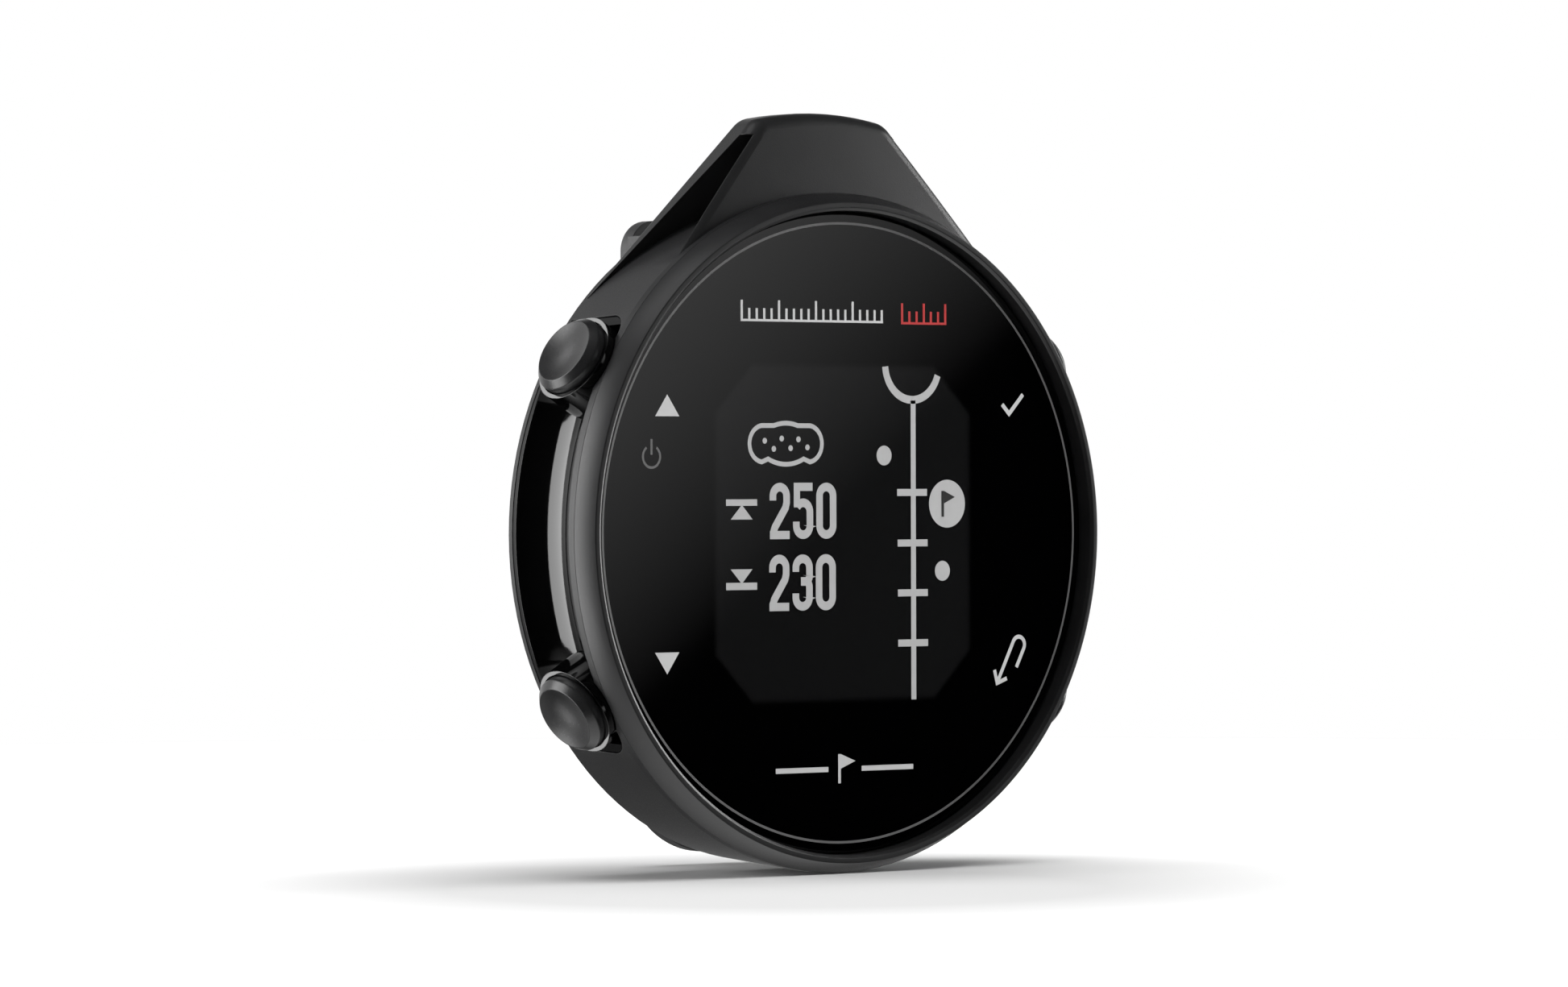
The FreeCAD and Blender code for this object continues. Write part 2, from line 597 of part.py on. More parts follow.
def post_rods(prefix, radius, start, end):
    return [rod(f"{prefix}{index}", radius, start, end, across, upward)
            for index, (across, upward) in enumerate(post_spots())]


def make_inner_frame():
    """A plate behind the display with a wall round it that stands on the case's shelf."""
    wall = "frame_radius - frame_wall"
    corners = [("0", "frame_front"), (wall, "frame_front"), (wall, "frame_lip"),
               ("frame_radius", "frame_lip"), ("frame_radius", "frame_rear"), ("0", "frame_rear")]
    posts = post_rods("Post", "post_radius", "frame_rear - sink", "board_front")
    tools = at_spots("Bay", lambda name, side, level: radial_box(
        name, "bay_half", "frame_lip - past", "frame_rear + past", "bay_inner", "case_radius",
        side, level))
    tools += post_rods("PostHole", "post_hole", "frame_front - past", "board_front + past")
    tools.append(box("FlexWay", "-(flex_half + flex_gap)", "frame_front - past",
                     "-(flex_drop + flex_gap)", "2 * (flex_half + flex_gap)",
                     "frame_rear - frame_front + 2 * past", "3 * flex_gap"))
    solid = fuse("FrameSolid", [turned_part("FramePlate", corners)] + posts)
    keep(cut("Frame", solid, tools), "inner_frame")


def make_flex():
    """The display's tail: down from the glass, back through the frame and onto the board."""
    body = new_body("Flex")
    rear = "board_front - flex_rise"
    corners = [("flex_front", "-panel_half_tall"), ("flex_front", "-flex_drop"), (rear, "-flex_drop"),
               (rear, "-flex_end"), (f"{rear} - flex_thick", "-flex_end"),
               (f"{rear} - flex_thick", "-(flex_drop - flex_thick)"),
               ("flex_front + flex_thick", "-(flex_drop - flex_thick)"),
               ("flex_front + flex_thick", "-panel_half_tall")]
    pad(body, outline(body, "YZ_Plane", corners), "2 * flex_half", both=True)
    keep(body, "display_flex")


def make_board():
    disc = rod("BoardDisc", "board_radius", "board_front", "board_rear")
    holes = post_rods("BoardHole", "board_hole", "board_front - past", "board_rear + past")
    keep(cut("Board", disc, holes), "main_board")


def make_board_screws():
    shanks = post_rods("BoardShank", "board_screw", "board_screw_end", "board_rear + sink")
    heads = post_rods("BoardHead", "board_head", "board_rear", "board_head_rear")
    keep(fuse("BoardScrews", shanks + heads), "board_screws")


def make_switches():
    blocks = at_spots("Switch", lambda name, side, level: radial_box(
        name, "switch_half", "switch_front", "board_front", "switch_inner", "switch_outer",
        side, level))
    keep(fuse("Switches", blocks), "side_switches")


def make_shield():
    can = box("ShieldCan", "shield_left", "board_rear", "shield_low", "shield_wide",
              "shield_deep", "shield_tall")
    hollow = box("ShieldHollow", "shield_left + shield_wall", "board_rear - past",
                 "shield_low + shield_wall", "shield_wide - 2 * shield_wall",
                 "shield_deep - shield_wall + past", "shield_tall - 2 * shield_wall")
    keep(cut("Shield", can, [hollow]), "rf_shield")


def make_chips():
    blocks = [box(f"Chip{index}", f"shield_left + {left}", "board_rear", f"shield_low + {low}",
                  str(wide), "chip_deep", str(tall))
              for index, (left, low, wide, tall) in enumerate(CHIPS)]
    keep(fuse("Chips", blocks), "board_chips")


def make_antenna():
    keep(slab("Antenna", "antenna_left", "antenna_left + antenna_wide", "shield_low",
              "shield_low + shield_tall", "board_rear", "board_rear + antenna_deep"), "gps_antenna")


def make_battery():
    top = "battery_low + battery_tall"
    keep(slab("Battery", "-battery_half", "battery_half", "battery_low", top,
              "battery_front", "battery_rear"), "battery")
    keep(slab("Foam", "foam_inset - battery_half", "battery_half - foam_inset",
              "battery_low + foam_inset", f"{top} - foam_inset",
              "battery_front - foam_thick", "battery_front"), "battery_pad")


# ---------------------------------------------------------------- back cover

def cover_dish():
    corners = [("0", "cover_inner"), ("0", "cover_rear"), ("cover_flat", "cover_rear"),
               ("cover_slope_radius", "cover_slope"), ("cover_step_radius", "cover_step"),
               ("cover_edge", "case_rear"), ("spigot_outer", "case_rear"),
               ("spigot_outer", "cover_groove_rear"), ("cover_groove", "cover_groove_rear"),
               ("cover_groove", "cover_groove_front"), ("spigot_outer", "cover_groove_front"),
               ("spigot_outer", "spigot_front"), ("spigot_inner", "spigot_front"),
               ("spigot_inner", "cover_inner")]
    return turned_part("CoverDish", corners)


def cover_rails():
    """Two rails with lips that reach over the clip's tongues, closed by a stop at the foot."""
    parts = []
    tall = "rail_top - rail_low"
    for index, side in enumerate(SIDES.values()):
        left = "rail_inner" if side > 0 else "-rail_outer"
        lip_left = "rail_lip" if side > 0 else "-rail_outer"
        parts.append(box(f"RailWall{index}", left, "cover_inner", "rail_low",
                         "rail_outer - rail_inner", "rail_rear - cover_inner", tall))
        parts.append(box(f"RailLip{index}", lip_left, "rail_lip_front", "rail_low",
                         "rail_outer - rail_lip", "rail_rear - rail_lip_front", tall))
    parts.append(box("RailStop", "-rail_outer", "cover_inner", "rail_low - rail_stop",
                     "2 * rail_outer", "tongue_rear - cover_inner", "rail_stop"))
    return parts


def contact_rods(prefix, radius, start, end):
    return [rod(f"{prefix}{index}", radius, start, end, f"{offset} * contact_pitch", "-contact_drop")
            for index, offset in enumerate((-1.5, -0.5, 0.5, 1.5))]


def make_cover():
    solid = fuse("CoverSolid", [cover_dish()] + cover_rails())
    tools = screw_rods("CoverHole", "screw_clear", "case_rear - past", "screw_seat + screw_gap")
    tools += screw_rods("CoverSeat", "screw_head_bore", "screw_seat", "cover_rear + past")
    tools += contact_rods("ContactHole", "contact_bore", "cover_inner - past", "cover_rear + past")
    keep(cut("Cover", solid, tools), "back_cover")


def make_cover_seal():
    body = new_body("CoverSeal")
    middle = "(cover_groove_front + cover_groove_rear) / 2"
    spin(body, rings(body, "XY_Plane", [("cover_ring", middle, "cover_ring_wire")]))
    keep(body, "back_cover_seal")


def make_back_screws():
    shanks = screw_rods("ScrewShank", "screw_radius", "screw_end", "screw_seat + sink")
    heads = screw_rods("ScrewHead", "screw_head", "screw_seat", "screw_head_rear")
    keep(fuse("BackScrews", shanks + heads), "back_screws")


def make_contacts():
    pins = contact_rods("ContactPin", "contact_radius", "contact_flange_front", "contact_rear")
    flanges = contact_rods("ContactFlange", "contact_flange", "contact_flange_front", "cover_inner")
    keep(fuse("Contacts", pins + flanges), "charging_contacts")
    carrier = slab("Carrier", "-carrier_half", "carrier_half",
                   "-(contact_drop + carrier_half_tall)", "carrier_half_tall - contact_drop",
                   "carrier_front", "contact_flange_front")
    keep(carrier, "contact_carrier")


# ---------------------------------------------------------------- belt clip

def make_clip_base():
    """A plate with tongues for the rails and two ears that carry the hinge pin."""
    parts = [box("BasePlate", "-base_half", "base_front", "base_low", "2 * base_half",
                 "base_rear - base_front", "base_top - base_low"),
             box("BaseTongues", "-tongue_half", "base_front", "base_low", "2 * tongue_half",
                 "tongue_rear - base_front", "rail_top - base_low")]
    for index, side in enumerate(SIDES.values()):
        left = "ear_inner" if side > 0 else "-ear_outer"
        right = "ear_outer" if side > 0 else "-ear_inner"
        parts.append(box(f"EarFoot{index}", left, "base_front", "hinge_rise - knuckle_radius",
                         "ear_outer - ear_inner", "hinge_depth - base_front", "2 * knuckle_radius"))
        parts.append(cross_rod(f"EarRound{index}", "knuckle_radius", left, right,
                               "hinge_depth", "hinge_rise"))
    hole = cross_rod("EarHole", "pin_hole", "-ear_outer - past", "ear_outer + past",
                     "hinge_depth", "hinge_rise")
    keep(cut("ClipBase", fuse("ClipBaseSolid", parts), [hole]), "clip_base")


def jaw_blade():
    """A long plate with a full round at its foot and rounded corners at its head."""
    plate = box("JawPlate", "-jaw_half", "jaw_front", "jaw_low + jaw_half", "2 * jaw_half",
                "clip_rear - jaw_front", "jaw_top - jaw_low - jaw_half")
    plate = round_edges("JawHead", plate, "jaw_corner", is_jaw_corner)
    round_foot = rod("JawFootRound", "jaw_half", "jaw_front", "clip_rear", "0", "jaw_low + jaw_half")
    blade = fuse("JawBlade", [plate, round_foot])
    return round_edges("JawBladeRound", blade, "jaw_edge", is_jaw_rear_edge)


def is_jaw_corner(edge):
    spot = edge.CenterOfMass
    return edge.BoundBox.YLength > 1 and edge.BoundBox.ZLength < 0.01 and spot.z > SIZES["hinge_rise"]


def is_jaw_rear_edge(edge):
    return edge.BoundBox.YMin > SIZES["clip_rear"] - 0.01


def jaw_foot():
    """The ridge across the jaw that presses on the pad."""
    body = new_body("JawFoot")
    corners = [("jaw_front + sink", "foot_low"), ("foot_front + foot_slope", "foot_low"),
               ("foot_front", "foot_low + foot_slope"),
               ("foot_front", "foot_low + foot_tall - foot_slope"),
               ("foot_front + foot_slope", "foot_low + foot_tall"),
               ("jaw_front + sink", "foot_low + foot_tall")]
    pad(body, outline(body, "YZ_Plane", corners), "2 * foot_half", both=True)
    return body


def make_jaw():
    parts = [jaw_blade(), jaw_foot()]
    for index, side in enumerate(SIDES.values()):
        left = "cheek_inner" if side > 0 else "-jaw_half"
        right = "jaw_half" if side > 0 else "-cheek_inner"
        parts.append(box(f"CheekWall{index}", left, "hinge_depth", "hinge_rise - knuckle_radius",
                         "jaw_half - cheek_inner", "jaw_front - hinge_depth + sink",
                         "2 * knuckle_radius"))
        parts.append(cross_rod(f"CheekRound{index}", "knuckle_radius", left, right,
                               "hinge_depth", "hinge_rise"))
    hole = cross_rod("CheekHole", "pin_press", "-pin_half", "pin_half", "hinge_depth", "hinge_rise")
    keep(cut("Jaw", fuse("JawSolid", parts), [hole]), "clip_jaw")


def make_pin():
    body = new_body("Pin")
    pad(body, rings(body, "YZ_Plane", [("hinge_depth", "hinge_rise", "pin_radius")]),
        "2 * pin_half", both=True)
    keep(body, "clip_pin")


def make_pad():
    keep(slab("Pad", "-pad_half", "pad_half", "pad_low", "pad_low + pad_tall",
              "base_rear", "pad_rear"), "clip_pad")


def make_spring():
    """A coil round the pin, with one leg down the jaw and the other down the base."""
    mean = SIZES["coil_radius"]
    length = SIZES["coil_pitch"] * SIZES["coil_turns"]
    slope = SIZES["coil_pitch"] / (2 * math.pi * mean)
    start = FreeCAD.Vector(mean, 0, 0)
    end = FreeCAD.Vector(-mean, 0, length)
    away = FreeCAD.Vector(0, -1, -slope).normalize() * SIZES["coil_leg"]
    onward = FreeCAD.Vector(0, -1, slope).normalize() * SIZES["coil_leg"]
    helix = Part.makeHelix(SIZES["coil_pitch"], length, mean)
    path = Part.Wire([Part.makeLine(start + away, start)] + helix.Edges
                     + [Part.makeLine(end, end + onward)])
    section = Part.Wire([Part.makeCircle(SIZES["coil_wire"], start + away, away)])
    coil = path.makePipeShell([section], True, True)
    lay = FreeCAD.Matrix()
    lay.move(FreeCAD.Vector(0, 0, -length / 2))
    lay.rotateZ(math.pi / 2)
    lay.rotateY(math.pi / 2)
    lay.move(FreeCAD.Vector(0, SIZES["hinge_depth"], SIZES["hinge_rise"]))
    spring = doc.addObject("Part::Feature", "Spring")
    spring.Shape = coil.transformed(lay, True)
    keep(spring, "clip_spring")


# ---------------------------------------------------------------- build, check, write

def check_all():
    failed = [item.Name for item in doc.Objects if {"Invalid", "Error"} & set(item.State)]
    failed += [item.Label for item in nodes if item.Shape.isNull() or not item.Shape.isValid()]
    if failed:
        raise RuntimeError("failed objects: " + ", ".join(failed))


def main():
    fill_sheet()
    make_lens()
    make_gasket()
    make_bezel()
    make_case()
    for side in SIDES:
        make_trim(side)
    make_buttons()
    make_display()
    make_inner_frame()
    make_flex()
    make_board()
    make_board_screws()
    make_switches()
    make_shield()
    make_chips()
    make_antenna()
    make_battery()
    make_cover()
    make_cover_seal()
    make_back_screws()
    make_contacts()
    make_clip_base()
    make_jaw()
    make_pin()
    make_pad()
    make_spring()
    doc.recompute()
    check_all()
    os.makedirs("parts", exist_ok=True)
    for item in nodes:
        item.Shape.exportStep(f"parts/{item.Label}.step")
        extent = item.Shape.BoundBox
        print(f"{item.Label:24s} solids {len(item.Shape.Solids)} volume {item.Shape.Volume:9.2f}"
              f" x {extent.XMin:7.2f} {extent.XMax:6.2f} y {extent.YMin:6.2f} {extent.YMax:6.2f}"
              f" z {extent.ZMin:6.2f} {extent.ZMax:6.2f}")


main()
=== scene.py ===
import json
import math

import bpy
from mathutils import Matrix, Vector


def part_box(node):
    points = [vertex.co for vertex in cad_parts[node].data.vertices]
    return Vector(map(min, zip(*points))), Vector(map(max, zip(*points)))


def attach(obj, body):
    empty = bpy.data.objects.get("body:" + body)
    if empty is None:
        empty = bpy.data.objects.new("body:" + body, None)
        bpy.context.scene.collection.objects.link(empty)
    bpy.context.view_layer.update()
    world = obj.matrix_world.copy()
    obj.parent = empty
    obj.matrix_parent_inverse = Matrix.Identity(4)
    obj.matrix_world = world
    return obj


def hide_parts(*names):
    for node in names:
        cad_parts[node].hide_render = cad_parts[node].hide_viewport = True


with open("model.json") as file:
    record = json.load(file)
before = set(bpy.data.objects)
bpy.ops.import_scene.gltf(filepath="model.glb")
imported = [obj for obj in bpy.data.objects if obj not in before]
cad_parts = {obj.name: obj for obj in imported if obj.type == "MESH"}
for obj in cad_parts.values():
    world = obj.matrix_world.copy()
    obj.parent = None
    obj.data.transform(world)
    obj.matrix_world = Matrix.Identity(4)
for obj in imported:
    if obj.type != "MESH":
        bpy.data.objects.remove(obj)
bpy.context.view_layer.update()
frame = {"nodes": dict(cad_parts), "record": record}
NODES = frame["nodes"]
MM = 0.001

# The case axis: where it meets the lens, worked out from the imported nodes.
lens_low, lens_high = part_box("lens_glass")
AXIS = Vector(((lens_low.x + lens_high.x) / 2, lens_low.y, (lens_low.z + lens_high.z) / 2))


def at(x, depth, rise):
    """A point given in millimetres right of, behind and above the middle of the lens."""
    return AXIS + Vector((x, depth, rise)) * MM


# ---------------------------------------------------------------- camera

CAMERA_TURN, CAMERA_TILT, CAMERA_ROLL = -40.116, 0.0995, -0.1525
CAMERA_LENS, CAMERA_SENSOR = 164.67, 36
# Where the middle of the lens lies along the camera's own axes, in metres.
LENS_IN_VIEW = Vector((0.004128, -0.002696, -0.49147))


def aim_camera():
    turn, tilt, roll = (math.radians(angle) for angle in (CAMERA_TURN, CAMERA_TILT, CAMERA_ROLL))
    back = Vector((math.sin(turn) * math.cos(tilt), -math.cos(turn) * math.cos(tilt), math.sin(tilt)))
    right = Vector((0, 0, 1)).cross(back).normalized()
    up = back.cross(right)
    across = right * math.cos(roll) + up * math.sin(roll)
    upward = up * math.cos(roll) - right * math.sin(roll)
    offset = across * LENS_IN_VIEW.x + upward * LENS_IN_VIEW.y + back * LENS_IN_VIEW.z
    rows = Matrix((across, upward, back)).transposed().to_4x4()
    data = bpy.data.cameras.new("camera")
    data.lens = CAMERA_LENS
    data.sensor_width = CAMERA_SENSOR
    data.clip_start = 0.01
    camera = bpy.data.objects.new("camera", data)
    camera.matrix_world = Matrix.Translation(AXIS - offset) @ rows
    bpy.context.scene.collection.objects.link(camera)
    bpy.context.scene.camera = camera


# ---------------------------------------------------------------- materials

def new_material(name):
    material = bpy.data.materials.new(name)
    material.use_nodes = True
    tree = material.node_tree
    return material, tree, tree.nodes["Principled BSDF"]


def link(tree, source, output, target, socket):
    tree.links.new(source.outputs[output], target.inputs[socket])


def add(tree, kind, **values):
    node = tree.nodes.new(kind)
    for key, value in values.items():
        if key in node.inputs:
            node.inputs[key].default_value = value
        else:
            setattr(node, key, value)
    return node


def noise(tree, size, detail=2.0, stretch=None):
    """A noise over the object, with features of about that many millimetres."""
    coords = add(tree, "ShaderNodeTexCoord")
    pattern = add(tree, "ShaderNodeTexNoise", Scale=1 / (size * MM), Detail=detail)
    if stretch:
        mapping = add(tree, "ShaderNodeMapping", Scale=stretch)
        link(tree, coords, "Object", mapping, "Vector")
        link(tree, mapping, "Vector", pattern, "Vector")
    else:
        link(tree, coords, "Object", pattern, "Vector")
    return pattern


def spread(tree, source, low, high, start=0.3, end=0.7, output="Fac"):
    """That output, spread from low to high."""
    ranged = tree.nodes.new("ShaderNodeMapRange")
    for socket, value in (("From Min", start), ("From Max", end), ("To Min", low), ("To Max", high)):
        ranged.inputs[socket].default_value = value
    tree.links.new(source.outputs[output], ranged.inputs["Value"])
    return ranged


def combined(tree, operation, first, second, output=0):
    """One number from the first node's only output and an output of the second."""
    node = add(tree, "ShaderNodeMath", operation=operation)
    tree.links.new(first.outputs[0], node.inputs[0])
    tree.links.new(second.outputs[output], node.inputs[1])
    return node


def blended(tree, factor, output, first, second):
    mix = tree.nodes.new("ShaderNodeMix")
    mix.data_type = "RGBA"
    mix.inputs["A"].default_value = (*first, 1)
    mix.inputs["B"].default_value = (*second, 1)
    tree.links.new(factor.outputs[output], mix.inputs["Factor"])
    return mix


SHEEN_VARY = 0.12


def moulded(name, colour, rough, grain=0.09, depth=0.006, vary=0.12, edge=0.0, mottle=3.0,
            metal=0.0, specular=0.5, stretch=None):
    """A surface with a fine grain, slow changes of colour and sheen, and softened edges."""
    material, tree, shader = new_material(name)
    shader.inputs["Metallic"].default_value = metal
    shader.inputs["Specular IOR Level"].default_value = specular
    slow = noise(tree, mottle, 3.0)
    dark = tuple(part * (1 - vary) for part in colour)
    light = tuple(part * (1 + vary) for part in colour)
    mix = blended(tree, spread(tree, slow, 0, 1), "Result", dark, light)
    tree.links.new(mix.outputs["Result"], shader.inputs["Base Color"])
    fine = noise(tree, grain, 2.0, stretch)
    sheen = spread(tree, fine, rough * (1 - SHEEN_VARY), rough * (1 + SHEEN_VARY))
    link(tree, sheen, "Result", shader, "Roughness")
    bump = add(tree, "ShaderNodeBump", Strength=1.0, Distance=depth * MM)
    link(tree, fine, "Fac", bump, "Height")
    if edge:
        bevel = add(tree, "ShaderNodeBevel", samples=6, Radius=edge * MM)
        link(tree, bevel, "Normal", bump, "Normal")
    link(tree, bump, "Normal", shader, "Normal")
    return material


# The lighter display area, an octagon: half its width, and half its width plus half its height at
# the cut corners. Its edge fades over a little on either side.
WINDOW_HALF, WINDOW_CORNER = 11.5, 19.7
WINDOW_FADE_IN, WINDOW_FADE_OUT = 0.45, 0.25
PRINT_BLACK, WINDOW_BLACK = (0.0004, 0.0004, 0.0005), (0.0068, 0.0069, 0.0071)


def lens_material():
    """Black print behind clear glass, a little lighter over the display."""
    material, tree, shader = new_material("lens_print")
    shader.inputs["Roughness"].default_value = 0.035
    shader.inputs["IOR"].default_value = 1.5
    coords = add(tree, "ShaderNodeTexCoord")
    place = add(tree, "ShaderNodeSeparateXYZ")
    link(tree, coords, "Object", place, "Vector")
    sides = []
    for output, middle in (("X", AXIS.x), ("Z", AXIS.z)):
        offset = add(tree, "ShaderNodeMath", operation="SUBTRACT")
        link(tree, place, output, offset, 0)
        offset.inputs[1].default_value = middle
        size = add(tree, "ShaderNodeMath", operation="ABSOLUTE")
        tree.links.new(offset.outputs[0], size.inputs[0])
        sides.append(size)
    total = combined(tree, "ADD", sides[0], sides[1])
    masks = []
    for side, limit in ((sides[0], WINDOW_HALF), (sides[1], WINDOW_HALF), (total, WINDOW_CORNER)):
        mask = spread(tree, side, 1, 0, (limit - WINDOW_FADE_IN) * MM,
                      (limit + WINDOW_FADE_OUT) * MM, output=0)
        mask.interpolation_type = "SMOOTHSTEP"
        masks.append(mask)
    least = masks[0]
    for mask in masks[1:]:
        least = combined(tree, "MINIMUM", least, mask)
    mix = blended(tree, least, 0, PRINT_BLACK, WINDOW_BLACK)
    tree.links.new(mix.outputs["Result"], shader.inputs["Base Color"])
    return material


def ink(name, colour):
    return moulded(name, colour, 0.45, grain=0.12, depth=0.0004, vary=0.02, mottle=0.8)


def make_materials():
    black = (0.012, 0.012, 0.0125)
    return {
        "case": moulded("spark_eroded_black", black, 0.42, depth=0.006, edge=0.07),
        "bezel": moulded("satin_black", black, 0.38, depth=0.003),
        "trim": moulded("polished_black", (0.0015, 0.0015, 0.0016), 0.075, depth=0.0002, edge=0.06),
        "button": moulded("satin_dark_grey", black, 0.31, depth=0.0025, specular=0.46),
        "lens": lens_material(),
        "display": moulded("display_glass", (0.05, 0.055, 0.05), 0.1, depth=0.0002),
        "light_guide": moulded("light_guide_white", (0.82, 0.83, 0.8), 0.3, depth=0.0005),
        "inner_plastic": moulded("plain_grey", (0.16, 0.16, 0.17), 0.5),
        "flex": moulded("amber_film", (0.62, 0.33, 0.06), 0.25, depth=0.0005),
        "board": moulded("green_mask", (0.03, 0.16, 0.07), 0.35, depth=0.001, mottle=1.2),
        "chip": moulded("chip_package", (0.03, 0.03, 0.03), 0.55, grain=0.05),
        "switch": moulded("switch_body", (0.05, 0.05, 0.05), 0.45),
        "shield": moulded("tinned_sheet", (0.62, 0.63, 0.64), 0.32, metal=1.0, depth=0.001),
        "ceramic": moulded("fired_ceramic", (0.72, 0.66, 0.52), 0.6, grain=0.05),
        "battery": moulded("pouch_foil", (0.7, 0.71, 0.72), 0.35, metal=0.8, mottle=1.0),
        "foam": moulded("foam_tape", (0.05, 0.05, 0.05), 0.9, grain=0.2, depth=0.03),
        "rubber": moulded("elastomer_black", (0.03, 0.03, 0.03), 0.7, grain=0.15, depth=0.01),
        "steel": moulded("turned_steel", (0.55, 0.56, 0.57), 0.28, metal=1.0, depth=0.001,
                         stretch=(1, 12, 12)),
        "gold": moulded("plated_contact", (0.83, 0.62, 0.25), 0.25, metal=1.0, depth=0.001),
        "clip": moulded("glass_filled_black", (0.024, 0.024, 0.025), 0.5, grain=0.12,
                        depth=0.008, edge=0.1),
    }


# ---------------------------------------------------------------- mesh helpers

def new_piece(name, points, faces, material, body):
    mesh = bpy.data.meshes.new(name)
    mesh.from_pydata([tuple(point) for point in points], [], faces)
    mesh.materials.append(material)
    mesh.validate()
    piece = bpy.data.objects.new(name, mesh)
    bpy.context.scene.collection.objects.link(piece)
    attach(piece, body)
    return piece


def fillet(profile, sizes, steps=6):
    """An open outline with its corners rounded; sizes are how far along each edge they start."""
    rounded = [profile[0]]
    for before, corner, after, size in zip(profile, profile[1:], profile[2:], sizes):
        if not size:
            rounded.append(corner)
            continue
        before, corner, after = Vector(before), Vector(corner), Vector(after)
        first = corner + (before - corner).normalized() * size
        last = corner + (after - corner).normalized() * size
        for index in range(steps + 1):
            share = index / steps
            point = (first * (1 - share) ** 2 + corner * 2 * share * (1 - share) + last * share ** 2)
            rounded.append(tuple(point))
    rounded.append(profile[-1])
    return rounded


def lathe(name, profile, centre, axis, material, body, count=192):
    """Turn (radius, height) pairs about an axis. The first and last may lie on it."""
    axis = Vector(axis).normalized()
    side = axis.orthogonal().normalized()
    other = axis.cross(side)
    points, rows = [], []
    for radius, height in profile:
        if radius < 1e-6:
            rows.append([len(points)])
            points.append(centre + axis * height * MM)
            continue
        rows.append(list(range(len(points), len(points) + count)))
        for index in range(count):
            angle = 2 * math.pi * index / count
            spoke = side * math.cos(angle) + other * math.sin(angle)
            points.append(centre + (axis * height + spoke * radius) * MM)
    faces = []
    for lower, upper in zip(rows, rows[1:]):
        for index in range(count):
            following = (index + 1) % count
            if len(lower) == 1:
                faces.append((lower[0], upper[following], upper[index]))
            elif len(upper) == 1:
                faces.append((lower[index], lower[following], upper[0]))
            else:
                faces.append((lower[index], lower[following], upper[following], upper[index]))
    piece = new_piece(name, points, faces, material, body)
    piece.data.polygons.foreach_set("use_smooth", [True] * len(faces))
    return piece


# ---------------------------------------------------------------- lens prints

# Marks stand this far off the lens, plus a step for each of a few levels in turn.
PRINT_PROUD, PRINT_STEP, PRINT_LEVELS = 0.012, 0.003, 5
PENNANT_LIFT = 0.01


class Print:
    """Flat marks on the front of the lens, drawn in millimetres from its middle.

    Marks drawn one after another stand at different heights, so none share a plane.
    """

    def __init__(self, lift=0.0):
        self.points, self.faces = [], []
        self.count = 0
        self.lift = lift

    def next_depth(self):
        self.count += 1
        return -PRINT_PROUD - PRINT_STEP * (self.count % PRINT_LEVELS) - self.lift

    def polygon(self, corners):
        depth = self.next_depth()
        first = len(self.points)
        self.points += [at(x, depth, z) for x, z in corners]
        self.faces.append(tuple(range(first, len(self.points))))

    def bar(self, left, low, right, high):
        self.polygon([(left, low), (right, low), (right, high), (left, high)])

    def disc(self, x, z, radius, count=48):
        turns = [2 * math.pi * index / count for index in range(count)]
        self.polygon([(x + radius * math.cos(turn), z + radius * math.sin(turn)) for turn in turns])

    def stroke(self, path, width, closed=False):
        """A line of that width along a path, mitred at its corners."""
        depth = self.next_depth()
        count = len(path)
        first = len(self.points)
        for index, point in enumerate(path):
            point = Vector(point)
            before = Vector(path[index - 1]) if closed or index else None
            after = Vector(path[(index + 1) % count]) if closed or index < count - 1 else None
            runs = [run.normalized() for run in
                    ((point - before) if before else None, (after - point) if after else None) if run]
            along = sum(runs, Vector((0, 0))).normalized()
            normal = Vector((-along.y, along.x))
            reach = width / 2 / max(0.5, normal.dot(Vector((-runs[0].y, runs[0].x))))
            for way in (reach, -reach):
                spot = point + normal * way
                self.points.append(at(spot.x, depth, spot.y))
        for index in range(count if closed else count - 1):
            this, following = first + 2 * index, first + 2 * ((index + 1) % count)
            self.faces.append((this, this + 1, following + 1, following))

    def finish(self, name, material):
        new_piece(name, self.points, self.faces, material, "case")


def arc(x, z, radius, start, end, steps=24):
    """Points on an arc, its angles in degrees anticlockwise from the right."""
    turns = [math.radians(start + (end - start) * index / steps) for index in range(steps + 1)]
    return [(x + radius * math.cos(turn), z + radius * math.sin(turn)) for turn in turns]


